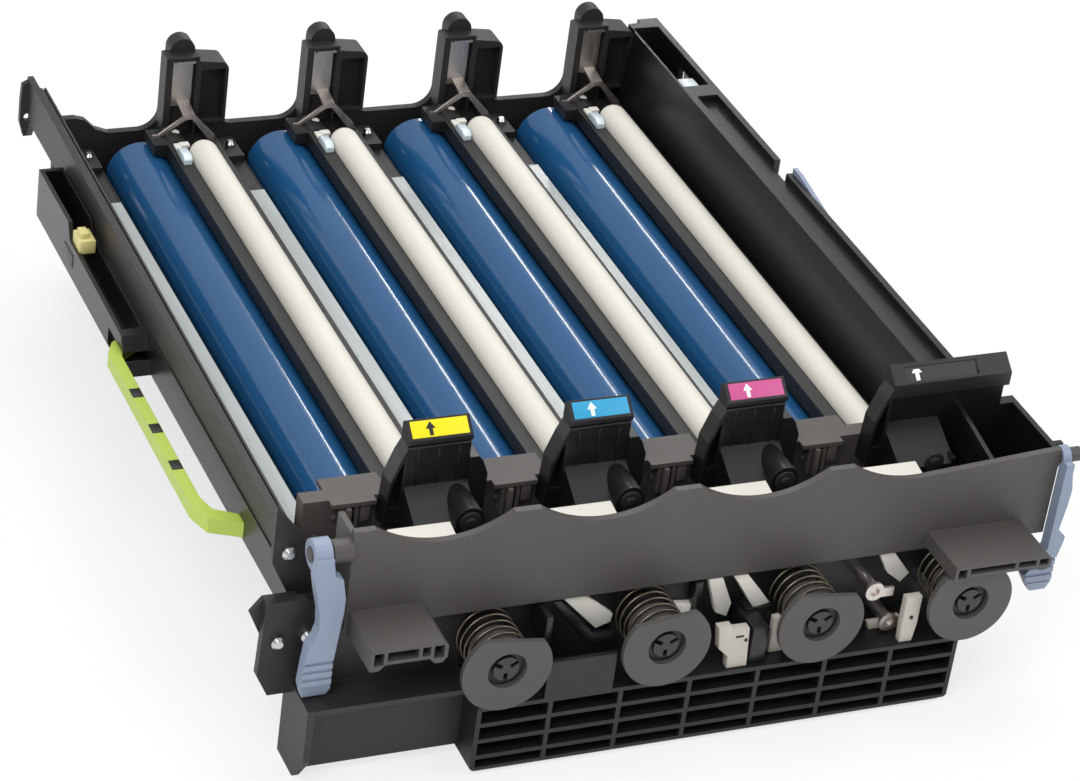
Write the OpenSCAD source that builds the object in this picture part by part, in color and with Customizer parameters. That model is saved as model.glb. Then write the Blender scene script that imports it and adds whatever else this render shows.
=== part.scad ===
// Drum unit of a colour printer: four photoconductor drums side by side in one
// frame, each with its cleaner, charge roller, waste auger and toner port.
// X runs across the stations, Y from the front panel to the gear side, Z up.
// Modules draw in station coordinates: x = 0 at the first tower, y = 0 at the
// front face of the rear wall, z = 0 at the floor. place() moves the whole unit
// so that its origin lies at the bottom centre.

/* [Stations] */
// Distance between neighbouring stations
pitch = 55; // [54.8:0.1:57]
// Height of the lower housing under the stations
base_h = 27; // [24:0.5:28]

/* [Drums] */
// Outer diameter of each drum
drum_d = 25; // [24.4:0.1:25.4]
// Length of each drum tube
drum_len = 250; // [230:1:300]
// Wall of the drum tube
drum_wall = 0.8; // [0.6:0.1:1.5]
// Diameter of the charge roller
charge_d = 10; // [9:0.25:10.25]

/* [Gears] */
// Module of the drum and auger gears
gear_module = 0.6; // [0.58:0.005:0.6]
// Width of the gears
gear_w = 2.4; // [2:0.1:3.2]

/* [Walls] */
// Thickness of the rear wall plate
rear_wall_t = 3; // [2.4:0.1:3.4]
// Thickness of the front panel
panel_t = 2.5; // [2:0.1:3]
// Height of the front panel's peaks above the lower housing
panel_rise = 63; // [62:0.5:65]
// Depth of the scallops in the front panel
scallop_h = 7.5; // [5:0.5:8]

/* [Shutters] */
// Diameter of each shutter disc
disc_d = 30.4; // [28:0.2:31]
// Thickness of each shutter disc
disc_t = 2; // [1.6:0.1:2.4]
// How far a shutter disc can be pushed in
shutter_travel = 6; // [4:0.25:6]
// Outer diameter of the shutter springs
spring_d = 20; // [19.5:0.1:20.4]
// Diameter of the spring wire
spring_wire = 0.9; // [0.7:0.05:1]

/* [Levers] */
// Length of the grip levers below their pin
lever_len = 49.5; // [44:0.5:50]
// Thickness of the grip levers
lever_t = 4.5; // [4:0.1:5]

/* [Carry handle] */
// Reach of the carry handle from the side wall
handle_reach = 13.5; // [12:0.5:16]
// Width of the carry handle's bar
handle_bar = 4; // [3:0.25:5]

/* [Fits] */
// Radial clearance of shafts in their bores
run_fit = 0.05; // [0.03:0.01:0.08]
// Clearance beside pieces that swing or slide
move_gap = 0.3; // [0.2:0.05:0.4]

/* [Hidden] */
$fn = 48;
stations = [0, 1, 2, 3];
last = 3;
// Turn of each disc's flat edge, in degrees
disc_turn = [8, -8, 7, 0];

// Places along the drums
drum_y1 = -8;
drum_y0 = drum_y1 - drum_len;
bulk_y1 = drum_y0 - 4;
bulk_y0 = bulk_y1 - 6;
panel_y1 = bulk_y0 - 32;
panel_y0 = panel_y1 - panel_t;
ledge_y0 = panel_y0 - 21;
disc_y1 = panel_y0 - 16.5;
disc_y0 = disc_y1 - disc_t;
gear_y0 = rear_wall_t + 0.4;
gear_y1 = gear_y0 + gear_w;

// Places across one station, from the middle of its tower
drum_r = drum_d / 2;
drum_x = -15;
drum_z = base_h + 21.5;
bay_r = drum_r + 1;
house_x1 = 12.2;
seam = 0.3;
house_x0 = house_x1 + seam - pitch;
// Below this height a housing reaches under its neighbour, round the auger
under_z = base_h + 21;
under_w = 3.3;
bar_x0 = -3;
bar_x1 = 8;
bar_r = (bar_x1 - bar_x0) / 2;
bar_xm = (bar_x0 + bar_x1) / 2;
seat_z = drum_z + 13.3;
bar_z = seat_z + 4.2;
strip_z = seat_z + 4.2;
film_z = drum_z + 4.8;
axle_r = 3;

// Gears: the auger sits to the right of the drum, lower down
drum_teeth = 34;
auger_teeth = 51;
gear_centres = gear_module * (drum_teeth + auger_teeth) / 2;
auger_drop = 5.6;
mesh_angle = -asin(auger_drop / gear_centres);
auger_x = drum_x + gear_centres * cos(mesh_angle);
auger_z = drum_z - auger_drop;
auger_shaft_r = 2;
auger_bore_r = 3.5;

// Charge roller, below and left of the drum
charge_r = charge_d / 2;
charge_off = drum_r + charge_r + move_gap;
charge_x = drum_x - charge_off * cos(45);
charge_z = drum_z - charge_off * sin(45);
charge_shaft_r = 2;
charge_channel_r = charge_r + 0.7;

// Toner port and shutter
port_r = 6.5;
port_in_r = 4.45;
sleeve_r = port_r + run_fit;
sleeve_out_r = 8.4;
sleeve_len = 11;
spring_turns = 5.5;
apron_y0 = panel_y1 + 1;
apron_t = 1.6;
spring_len = apron_y0 - disc_y1;
disc_r = disc_d / 2;
disc_flat = disc_r - 4.2;

// Rear wall towers
tower_z = base_h + 34.5;
box_z = base_h + 67.5;
plate_z = box_z - 2;
arch_x = 0.6;
arch_r = 4.8;
arch_z = box_z + 0.8;
tower_x0 = -5.6;
tower_x1 = 6.2;
wing_x1 = 17.8;

// Front hoods
shelf_z = base_h + 51;
shelf_t = 1.6;
hood_y0 = bulk_y0 - 8;
hood_top = shelf_z + 28;
label_z = hood_top - 4.5;

// Front panel and its pins
panel_x0 = house_x0 + 3.5;
panel_x1 = last * pitch + 45;
panel_z0 = base_h + 26.4;
panel_top = base_h + panel_rise;
scallop_half = 23;
scallop_r = (pow(scallop_half, 2) + pow(scallop_h, 2)) / (2 * scallop_h);
scallop_x = -8.7;
ledge_z1 = panel_z0 + 6.6;
pin_r = 2.5;
pin_y = panel_y0 + 1.5;
pin_z = panel_top - 7;
pin_reach = 8;
hub_r = 3.6;
left_lever_x = panel_x0 - 17.5;
// Length below the pin at which the lever outlines are drawn
lever_drawn = 50;

// Left side, from the outside in
wall_x0 = house_x0 - 3;
rail_x1 = wall_x0 - 2.3;
rail_x0 = rail_x1 - 2.2;
side_x0 = rail_x0 - 0.5;
tray_x0 = side_x0 - 9;
side_y0 = bulk_y0 - 20;
rail_tab_y = 21;
rail_y1 = rail_tab_y + 2.2;
side_y1 = -28;
handle_y0 = -240;
handle_y1 = -125;
side_z0 = base_h + 19;
web_z0 = base_h + 33;
cap_front_z = base_h + 43;
cap_rear_z = base_h + 48;

// Right wall
trough_x0 = last * pitch + house_x1 + seam;
trough_x1 = last * pitch + 31.5;
trough_top = base_h + 63.7;
trough_lip_x = trough_x0 + 5;
wall_end_x = last * pitch + wing_x1 + 5 + seam;

// Lower housing and foot
block_x0 = 3;
block_x1 = last * pitch + 10.4;
block_y0 = panel_y0 - 15.5;
rib_cols = 7;
rib_rows = 4;
rib_t = 1.6;
rib_depth = 8;
// Raised stretch of the block's front between the first two discs
fence_x0 = auger_x + disc_r + 0.5;
fence_x1 = pitch + auger_x - disc_r - 0.5;
fence_z = base_h + 14;
fence_rib_x = fence_x0 + 8;
foot_x0 = side_x0 - 1.5;
foot_y0 = panel_y0 - 10;
foot_y1 = panel_y0 + 12;
foot_z1 = base_h + 4;
foot_wall_y = foot_y0 + 6;

// Ring terminals under the panel, each on its own post
ring_places = [[last * pitch - 21, base_h + 18], [last * pitch - 13.5, base_h + 4.5]];
ring_y0 = apron_y0 - 12;

// Corner bracket
brk_x0 = foot_x0 - 11;
brk_x1 = wall_x0 + 1;
brk_y0 = side_y0 - 9;
brk_z0 = base_h + 0.5;
brk_z1 = base_h + 36;
ear_x0 = brk_x0 - 4;

// Box of the whole unit
x_min = min(side_x0 - handle_reach, ear_x0);
x_max = panel_x1 + pin_reach;
y_min = ledge_y0;
x_mid = (x_min + x_max) / 2;
y_mid = (y_min + rail_y1) / 2;

dark = "#2b2a2b";
black = "#1b1b1d";
grey = "#555150";

function station_x(k) = k * pitch;

// Moves the unit from station coordinates to its own frame
module place() {
  translate([-x_mid, -y_mid, 0]) children();
}

module at_station(k) {
  place() translate([station_x(k), 0, 0]) children();
}

// Block between two corners, each given as a pair per axis
module slab(x, y, z) {
  translate([x[0], y[0], z[0]]) cube([x[1] - x[0], y[1] - y[0], z[1] - z[0]]);
}

// Outline in X and Z, drawn out along Y
module along_y(y0, y1) {
  translate([0, y1, 0]) rotate([90, 0, 0]) linear_extrude(y1 - y0) children();
}

// Outline in Y and Z, drawn out along X
module along_x(x0, x1) {
  translate([x0, 0, 0]) rotate([90, 0, 90]) linear_extrude(x1 - x0) children();
}

module rod_y(x, z, r, y0, y1) {
  translate([x, y1, z]) rotate([90, 0, 0]) cylinder(r = r, h = y1 - y0);
}

module rod_x(y, z, r, x0, x1) {
  translate([x0, y, z]) rotate([0, 90, 0]) cylinder(r = r, h = x1 - x0);
}

// Corner filler for a concave corner at the origin, in the x > 0, y > 0 side
module fillet_2d(r) {
  difference() {
    square(r);
    translate([r, r]) circle(r);
  }
}

// Section swept along a helix about +Z, with both ends closed
module helix(section, turn_h, turns, steps) {
  sides = len(section);
  rings = ceil(turns * steps);
  points = [
    for (i = [0 : rings])
      let (a = 360 * turns * i / rings, h = turn_h * turns * i / rings)
      for (p = section) [p[0] * cos(a), p[0] * sin(a), p[1] + h]
  ];
  skin = [
    for (i = [0 : rings - 1])
      for (j = [0 : sides - 1])
        let (k = (j + 1) % sides)
        [i * sides + j, i * sides + k, (i + 1) * sides + k, (i + 1) * sides + j]
  ];
  start = [for (j = [sides - 1 : -1 : 0]) j];
  finish = [for (j = [0 : sides - 1]) rings * sides + j];
  polyhedron(points, concat(skin, [start, finish]), convexity = 12);
}

// Gear outline with straight-flanked teeth, thinned for backlash. The first
// tooth, or the first gap, points along +X.
module gear_2d(teeth, first_is_gap) {
  r = gear_module * teeth / 2;
  step = 360 / teeth;
  root = r - 1.2 * gear_module;
  tip = r + 0.95 * gear_module;
  shift = first_is_gap ? step / 2 : 0;
  polygon([
    for (i = [0 : teeth - 1])
      for (p = [[root, -0.36], [r, -0.215], [tip, -0.1],
                [tip, 0.1], [r, 0.215], [root, 0.36]])
        let (a = step * (i + p[1]) + shift)
        [p[0] * cos(a), p[0] * sin(a)]
  ]);
}

module tower_outline() {
  translate([tower_x0, tower_z - 1]) square([tower_x1 - tower_x0, plate_z - tower_z + 1]);
  arch_2d(plate_z);
  difference() {
    polygon([[tower_x1, tower_z - 1], [wing_x1, tower_z - 1],
             [wing_x1, plate_z - 1.5], [tower_x1, plate_z]]);
    wing_corner_2d();
  }
  translate([tower_x0, tower_z]) mirror([1, 0]) fillet_2d(8);
  translate([wing_x1, tower_z]) fillet_2d(5);
}

// Round top of a tower, down to a given height
module arch_2d(z0) {
  translate([arch_x - arch_r, z0 - 1]) square([2 * arch_r, arch_z - z0 + 1]);
  translate([arch_x, arch_z]) circle(arch_r);
}

// Sharp corner that the rounded top of a tower's wing leaves out
module wing_corner_2d() {
  r = 3.5;
  translate([wing_x1, plate_z - 1]) rotate(180) fillet_2d(r);
}

module rear_wall() {
  x1 = last * pitch + wing_x1 + 5;
  place() color(dark) difference() {
    union() {
      along_y(0, rear_wall_t) {
        polygon([[wall_x0, tower_z], [wall_x0, side_z0], [house_x0, base_h + 11],
                 [house_x0 + 9.5, base_h], [trough_x0, base_h], [x1, base_h + 8],
                 [x1, tower_z]]);
        polygon([[wall_x0, tower_z], [wall_x0 + 20.5, tower_z], [wall_x0 + 15.5, tower_z + 2],
                 [wall_x0 + 11.5, tower_z + 6], [wall_x0 + 7.5, tower_z + 7.2],
                 [wall_x0, tower_z + 7.2]]);
        for (k = stations) translate([station_x(k), 0]) tower_outline();
      }
      for (k = stations) translate([station_x(k), 0, 0]) tower_front();
    }
    for (k = stations) translate([station_x(k), 0, 0]) {
      rod_y(drum_x, drum_z, axle_r + run_fit, -1, rear_wall_t + 1);
      rod_y(auger_x, auger_z, auger_shaft_r + run_fit, -1, rear_wall_t + 1);
      rod_y(charge_x, charge_z, charge_shaft_r + run_fit, -1, rear_wall_t + 1);
    }
  }
}

// Box on the front of a tower that holds the contact strip, and its open wing
module tower_front() {
  difference() {
    union() {
      slab([tower_x0 - 1, tower_x1], [-7, 0], [seat_z, box_z]);
      along_y(-7, 0) intersection() {
        tower_outline();
        translate([tower_x1, tower_z + 5]) square([wing_x1, box_z]);
      }
      along_y(-3, 0) arch_2d(box_z);
    }
    slab([arch_x - 4.6, arch_x + 4.6], [-8, -4], [tower_z - 1, box_z - 1]);
    along_y(-8, -1.2) intersection() {
      tower_outline();
      translate([tower_x1 + 1, tower_z + 6.2]) square([wing_x1 - tower_x1 - 2.2, 21]);
    }
  }
}

module left_rail() {
  tab_z0 = side_z0 + 5;
  place() color(grey) difference() {
    union() {
      along_x(rail_x0, rail_x1) polygon([
        [side_y0, web_z0], [side_y0, cap_front_z], [rail_tab_y, cap_rear_z],
        [rail_y1, cap_rear_z], [rail_y1, tab_z0], [rail_tab_y, tab_z0],
        [17, web_z0 - 2], [side_y1, web_z0 - 2], [side_y1, web_z0]
      ]);
      along_y(rail_tab_y, rail_y1) polygon([
        [rail_x1, cap_rear_z], [rail_x0 - 2.4, cap_rear_z - 2.4],
        [rail_x0 - 2.8, cap_rear_z - 9], [rail_x0 - 2.8, tab_z0 + 6],
        [rail_x0 - 1.2, tab_z0], [rail_x1, tab_z0]
      ]);
      along_x(rail_x1, wall_x0) polygon([
        [side_y0, cap_front_z - 2], [side_y0, cap_front_z],
        [14, cap_rear_z - 0.2], [14, cap_rear_z - 2.2]
      ]);
      slab([rail_x1, wall_x0], [0, rear_wall_t], [side_z0 + 14, cap_rear_z - 4]);
    }
    rod_y(rail_x0 + 0.2, web_z0 - 1, 1.6, rail_tab_y - 1, rail_y1 + 1);
    along_x(wall_x0 - 1.4, wall_x0 - 0.8) polygon([
      [side_y0 - 1, cap_front_z - 0.9], [side_y0 - 1, cap_front_z + 1],
      [15, cap_rear_z + 1], [15, cap_rear_z - 1.1]
    ]);
  }
}

module left_side_wall() {
  x1 = house_x0 - seam;
  place() color(black) {
    along_y(side_y0, side_y1) polygon([
      [side_x0, side_z0], [x1, side_z0], [x1, web_z0 + 1], [rail_x1, web_z0 + 1],
      [rail_x1, web_z0], [side_x0, web_z0]
    ]);
    difference() {
      along_x(tray_x0, side_x0) polygon([
        [side_y1, side_z0], [side_y1, side_z0 + 19], [side_y1 - 38, side_z0 + 19],
        [side_y1 - 41, side_z0 + 13], [side_y1 - 104, side_z0 + 12],
        [side_y1 - 112, side_z0]
      ]);
      slab([tray_x0 + 1.6, side_x0 - 0.8], [side_y1 - 100, side_y1 - 1.8],
           [side_z0 + 2, side_z0 + 20]);
      slab([tray_x0 - 1, side_x0], [handle_y1 - 12, handle_y1 + 7],
           [side_z0 + 0.7, side_z0 + 7]);
    }
  }
}

module right_trough() {
  place() color(black) difference() {
    along_y(bulk_y1, rear_wall_t) polygon([
      [trough_x0 + under_w, base_h], [trough_x1 - 4, base_h], [trough_x1, base_h + 4],
      [trough_x1, trough_top], [trough_lip_x, trough_top], [trough_x0, under_z + seam],
      [trough_x0 + under_w, under_z + seam]
    ]);
    slab([trough_x0 - 1, wall_end_x], [0, rear_wall_t + 1], [base_h - 1, box_z]);
    slab([trough_x0 - 1, wall_end_x - 5], [-7 - seam, 1], [seat_z, box_z]);
    slab([trough_lip_x + 1, trough_x1 - 2.5], [-52, -4], [base_h + 29, trough_top + 1]);
    slab([trough_x1 - 4, trough_x1 + 1], [-37, -26], [base_h + 46, base_h + 58]);
    slab([trough_x1 - 3, trough_x1 + 1], [-121, -111], [trough_top - 6, trough_top + 1]);
    slab([trough_lip_x + 3, trough_x1 - 2.5], [bulk_y1 + 8, -60],
         [trough_top - 3, trough_top + 1]);
  }
}

// Scalloped outline of the front panel
module panel_2d() {
  right_top = panel_top - 3.5;
  difference() {
    translate([panel_x0, panel_z0]) square([panel_x1 - panel_x0, panel_top - panel_z0]);
    for (k = stations)
      translate([station_x(k) + scallop_x, panel_top - scallop_h + scallop_r])
        circle(scallop_r, $fn = 96);
    polygon([[last * pitch + scallop_x, panel_top - scallop_h],
             [panel_x1 + 1, right_top], [panel_x1 + 1, panel_top + 1],
             [last * pitch + scallop_x, panel_top + 1]]);
  }
}

// Shelf with a hollow, ribbed front: two legs with an arch between them
module ledge(x0, x1, leg_z, arch_z) {
  wall = 1.2;
  mid = x0 + 0.62 * (x1 - x0);
  difference() {
    along_y(ledge_y0, panel_y0) polygon([
      [x0, leg_z], [x0 + 3, leg_z], [x0 + 5, arch_z], [x1 - 6, arch_z],
      [x1 - 4, leg_z], [x1 - 1.5, leg_z], [x1, leg_z + 2], [x1, ledge_z1 - 1.5],
      [x1 - 1.5, ledge_z1], [x0, ledge_z1]
    ]);
    slab([x0 + wall, x0 + 4.4], [ledge_y0 - 1, ledge_y0 + 14], [arch_z, ledge_z1 - wall]);
    slab([x0 + 5.6, mid], [ledge_y0 - 1, ledge_y0 + 14], [arch_z + wall, ledge_z1 - wall]);
    slab([mid + wall, x1 - 5.8], [ledge_y0 - 1, ledge_y0 + 14],
         [arch_z + wall, ledge_z1 - wall]);
    slab([x1 - 4.6, x1 - wall], [ledge_y0 - 1, ledge_y0 + 14], [leg_z + 2, ledge_z1 - wall]);
  }
}

module front_panel() {
  place() color(grey) {
    along_y(panel_y0, panel_y1) panel_2d();
    ledge(panel_x0 + 1, panel_x0 + 26.5, panel_z0 - 1.2, panel_z0 + 0.8);
    ledge(last * pitch, last * pitch + 36, panel_z0 + 1, panel_z0 + 2);
    slab([panel_x0, panel_x0 + 2], [panel_y1, side_y0], [panel_z0, panel_top - 2]);
    slab([panel_x0, panel_x0 + 2], [side_y0, bulk_y0], [panel_z0, panel_z0 + 12]);
    rod_x(pin_y, pin_z, pin_r, left_lever_x + 4, panel_x0);
    rod_x(pin_y, pin_z, 3.8, panel_x0 - 6.5, panel_x0);
    rod_x(pin_y, pin_z, pin_r, panel_x1, panel_x1 + pin_reach);
  }
}

module front_bulkhead() {
  x1 = panel_x1 - 0.5;
  place() color(dark) difference() {
    union() {
      along_y(bulk_y0, bulk_y1) polygon([
        [house_x0, base_h + 11], [house_x0 + 9.5, base_h], [trough_x1 - 4, base_h],
        [x1, base_h + 15], [x1, shelf_z + 4], [trough_x0, shelf_z + 4],
        [trough_x0, shelf_z], [house_x0, shelf_z]
      ]);
      for (k = stations) translate([station_x(k), 0, 0]) {
        slab([-34, -14], [bulk_y1, bulk_y1 + 6], [shelf_z - shelf_t, shelf_z]);
        shelf_brackets();
      }
    }
    for (k = stations) translate([station_x(k), 0, 0]) {
      rod_y(drum_x, drum_z, axle_r + run_fit, bulk_y0 - 1, bulk_y1 + 1);
      rod_y(auger_x, auger_z, port_r + run_fit, bulk_y0 - 1, bulk_y1 + 1);
      rod_y(charge_x, charge_z, charge_shaft_r + run_fit, bulk_y0 - 1, bulk_y1 + 1);
    }
  }
}

// Small brackets that hang under the shelf between two hoods
module shelf_brackets() {
  for (x = [-31, -26]) slab([x, x + 1.4], [bulk_y0 - 2.6, bulk_y0], [shelf_z - 12, shelf_z]);
  slab([-34, -19], [bulk_y0 - 3, bulk_y0], [shelf_z - shelf_t, shelf_z]);
}

module lower_housing() {
  place() color(black) {
    base_block();
    difference() {
      slab([block_x0, panel_x1 - 8], [apron_y0, apron_y0 + apron_t], [base_h - 1, panel_z0]);
      port_holes();
    }
    slab([fence_x0, fence_x1], [block_y0, block_y0 + 1.6], [base_h - 1, fence_z]);
    slab([fence_rib_x, fence_rib_x + 1.4], [block_y0, block_y0 + 6], [base_h - 1, fence_z - 4]);
  }
}

// Passages for the port tubes through the wall under the front panel
module port_holes() {
  for (k = stations) translate([station_x(k), 0, 0])
    rod_y(auger_x, auger_z, port_r + move_gap, apron_y0 - 1, apron_y0 + apron_t + 1);
}

// Block under the stations, with a grid of open cells in its front
module base_block() {
  cell_w = (block_x1 - block_x0 - rib_t) / rib_cols;
  cell_h = (base_h - rib_t) / rib_rows;
  difference() {
    along_x(block_x0, block_x1) polygon([
      [block_y0 + 2, 0], [rear_wall_t - 4, 0], [rear_wall_t, 4], [rear_wall_t, base_h],
      [block_y0, base_h], [block_y0, 2]
    ]);
    for (i = [0 : rib_cols - 1])
      for (j = [0 : rib_rows - 1])
        slab([block_x0 + rib_t + i * cell_w, block_x0 + (i + 1) * cell_w],
             [block_y0 - 1, block_y0 + rib_depth],
             [rib_t + j * cell_h + (j == 0 ? 1.5 : 0), (j + 1) * cell_h]);
    for (x = [block_x0, block_x1])
      translate([x, 0, 0]) rotate([0, 45, 0])
        cube([4, 3 * drum_len, 4], center = true);
  }
}

// Foot under the left front corner: a side plate, a set-back wall and a shelf
module base_skirt() {
  place() color(grey) {
    along_x(foot_x0, foot_x0 + 2.4) polygon([
      [foot_y0 + 8, 0], [foot_y1, 0], [foot_y1, brk_z0], [brk_y0, brk_z0],
      [brk_y0, foot_z1], [foot_y0, foot_z1], [foot_y0, 11]
    ]);
    slab([foot_x0 + 2.4, block_x0], [foot_wall_y, foot_wall_y + 2], [4.5, foot_z1]);
    slab([foot_x0 + 2.4, block_x0], [foot_y0, brk_y0], [foot_z1 - 2, foot_z1]);
    slab([panel_x0 + 2, block_x0], [brk_y0, apron_y0 + apron_t], [foot_z1 - 2, foot_z1]);
    difference() {
      slab([brk_x1, block_x0], [apron_y0, apron_y0 + apron_t], [foot_z1 - 1, panel_z0]);
      port_holes();
    }
  }
}

// Screwed corner piece: a front flange, a body behind it and an upright tab
module corner_bracket() {
  place() color(dark) {
    along_y(brk_y0, brk_y0 + 3) polygon([
      [brk_x0, brk_z1], [brk_x0 - 1, brk_z0 + 8], [brk_x0 + 3, brk_z0],
      [brk_x1, brk_z0], [brk_x1, brk_z1 - 2.5], [rail_x0, brk_z1]
    ]);
    along_y(brk_y0 + 3, brk_y0 + 5) polygon([
      [brk_x0, brk_z1], [ear_x0, brk_z1 - 5], [brk_x0, brk_z1 - 14], [foot_x0, brk_z1 - 14],
      [foot_x0, brk_z1]
    ]);
    slab([foot_x0, brk_x1], [brk_y0 + 3, side_y0], [brk_z0 + 10, brk_z1 - 3]);
    along_y(side_y0 - 2, side_y0) polygon([
      [foot_x0 + 1, brk_z1 - 8], [brk_x1 + 2, brk_z1 - 8], [rail_x0 + 1.2, brk_z1 + 17],
      [ear_x0 + 7.2, brk_z1 + 31], [ear_x0 + 7.2, brk_z1 + 10]
    ]);
    slab([rail_x0, panel_x0], [side_y0 - 2, side_y0], [brk_z1 - 3, panel_top - 14]);
  }
}

// Side profile that both levers keep to, drawn in Y and Z from the pin
module lever_side_2d() {
  front = -lever_t - 1.5;
  polygon([
    [front, 1], [front, -lever_len + 3], [front + 1, -lever_len - 1.5],
    [-1.5, -lever_len - 1.5], [-1.5, 1]
  ]);
}

// Front outline of the left lever, from the pin's outer end
function left_lever_outline() = [
  [4.5, 1], [4.5, -6], [5.6, -12], [7.2, -19], [7.6, -25], [6.6, -28.5], [4.6, -32],
  [3.9, -39], [3.3, -47], [4.5, -51.5], [12.3, -51.5], [13.4, -49], [13.3, -39],
  [14.1, -30], [15.1, -20], [15.2, -14.5], [13.8, -7], [11.1, -5.5], [10.2, 0], [10.2, 1]
];

// Front outline of the right lever, from the panel's end
function right_lever_outline() = [
  [0.3, 0], [0.3, -34], [-2, -37], [-6.6, -44.3], [-3.8, -49.4], [-2.5, -51.5], [3.5, -51.5],
  [4.5, -48], [4.4, -39], [6, -31], [6, -29.5], [2.9, -26.5], [4.2, -16.5], [4.5, -10],
  [3.3, -4], [3.3, 0]
];

// Grip lever that hangs from a pin and swings out at the bottom
module lever(x, outline, hub_x0, hub_x1, r) {
  place() translate([x, pin_y, pin_z]) color("#8290ab") difference() {
    union() {
      intersection() {
        along_y(-lever_t - 4, 0)
          polygon([for (p = outline) [p[0], p[1] * lever_len / lever_drawn]]);
        along_x(-20, 20) lever_side_2d();
      }
      rod_x(0, 0, r, hub_x0, hub_x1);
    }
    rod_x(0, 0, pin_r + run_fit, -20, 20);
    for (z = [2 : 3 : 11])
      slab([-20, 20], [-lever_t - 5, -lever_t - 1], [z - lever_len, z - lever_len + 1]);
  }
}

module green_handle() {
  y0 = handle_y0;
  y1 = handle_y1;
  x0 = side_x0 - handle_reach;
  bar = handle_bar;
  place() color("#b5d84a") translate([0, 0, side_z0 + 1]) linear_extrude(5.5)
    difference() {
      polygon([[side_x0, y1 + 6], [x0 + 3, y1 - 2], [x0, y1 - 8], [x0, y0 + 14],
               [x0 + 3, y0 + 5], [side_x0, y0]]);
      polygon([[side_x0 + 1, y1], [x0 + 4 + bar / 2, y1 - 6], [x0 + bar, y1 - 11],
               [x0 + bar, y0 + 17], [x0 + 4 + bar / 2, y0 + 10], [side_x0 + 1, y0 + 5]]);
    }
}

module screw(r) {
  cylinder(r = r, h = 1.6);
  translate([0, 0, 1.6]) cylinder(r1 = r, r2 = r * 0.55, h = 1);
}

module screws() {
  place() color("#c9ccd0") {
    for (p = [[brk_x0 + 4.5, brk_z0 + 21], [brk_x0 + 14.2, brk_z0 + 22]])
      translate([p[0], brk_y0, p[1]]) rotate([90, 0, 0]) screw(2.3);
    translate([brk_x0 + 8, side_y0 - 2, brk_z1 + 14]) rotate([90, 0, 0]) screw(2.4);
    for (k = stations)
      translate([station_x(k) + house_x0 + 7.5, -9, film_z + 3]) screw(1.8);
  }
}

// Spring contact on each tower: a bent strip and a two-legged fork
module contact_strip() {
  fork_z = tower_z + 12.4;
  slab([arch_x - 3.8, arch_x + 3.8], [-4.9, -4], [fork_z - 0.4, box_z - 1.4]);
  slab([arch_x - 3.8, arch_x + 3.8], [-8, -4.9], [box_z - 2.2, box_z - 1.4]);
  along_x(-1, 3.6) polygon([[-4.9, fork_z + 1.6], [-13.4, fork_z],
                            [-13.4, fork_z - 1], [-4.9, fork_z - 0.4]]);
  along_y(-14.4, -13.4) polygon([
    [-1, fork_z], [3.6, fork_z], [11.6, seat_z + 3.2], [11.6, seat_z + 2.2],
    [9, seat_z + 2.2], [2.2, fork_z - 1.4], [0, fork_z - 1.4], [-10, strip_z],
    [-12.5, strip_z], [-12.5, strip_z + 0.9], [-10.4, strip_z + 0.9]
  ]);
}

module metal_contacts() {
  place() color("#c8bfb8") {
    for (k = stations) translate([station_x(k), 0, 0]) contact_strip();
    for (p = ring_places) {
      difference() {
        union() {
          rod_y(p[0], p[1], 3.4, ring_y0, ring_y0 + 1);
          slab([p[0], p[0] + 7], [ring_y0, ring_y0 + 1], [p[1] - 2.4, p[1] + 1]);
        }
        rod_y(p[0], p[1], 1.7, ring_y0 - 1, ring_y0 + 2);
      }
      rod_y(p[0], p[1], 2.2, ring_y0 + 1, apron_y0);
    }
  }
}

module white_inserts() {
  y1 = hood_y0 - 12;
  place() color("#e6e2d6") {
    for (k = stations)
      translate([station_x(k), 0, 0]) along_x(-22, -1) polygon([
        [y1, shelf_z - 1], [panel_y1, shelf_z - 3], [panel_y1, shelf_z - 1.4],
        [y1, shelf_z + 0.8]
      ]);
  }
}

module grip_tab() {
  place() color("#8e9bb0") {
    along_x(trough_x1, trough_x1 + 1.6) polygon([
      [-165, trough_top - 14], [-121, trough_top - 14], [-121, trough_top + 2],
      [-126, trough_top + 2], [-150, trough_top - 2], [-165, trough_top - 10]
    ]);
    along_x(trough_x1 + 1.6, trough_x1 + 6.6) polygon([
      [-162, trough_top - 14], [-124, trough_top - 14], [-124, trough_top - 12.4],
      [-162, trough_top - 12.4]
    ]);
  }
}

// Toner port hood in front of the cross member: tall box with a slanted label
// face, a sloping chute under it, a gabled wing on the left and a step on the right
module hood_body(x0, x1) {
  along_x(x0, x1) polygon([
    [bulk_y0, shelf_z - 8], [bulk_y0, hood_top - 1], [hood_y0 + 6.5, hood_top],
    [hood_y0 + 1, label_z], [hood_y0 + 1, label_z - 1.6], [hood_y0 + 2, label_z - 2.4],
    [hood_y0 + 2, shelf_z + 6], [hood_y0 - 12, shelf_z - 2], [hood_y0 - 12, shelf_z - 8]
  ]);
}

module hood_wing() {
  difference() {
    along_y(hood_y0 + 1, bulk_y0) polygon([
      [-12, hood_top - 7], [-14, hood_top - 11], [-17, hood_top - 19.5], [-18, shelf_z - 8],
      [-12, shelf_z - 8]
    ]);
    along_y(hood_y0, hood_y0 + 4) polygon([
      [-13, hood_top - 12], [-14, hood_top - 14], [-16, hood_top - 20],
      [-16.6, shelf_z - 1], [-13, shelf_z - 1]
    ]);
  }
}

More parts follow.
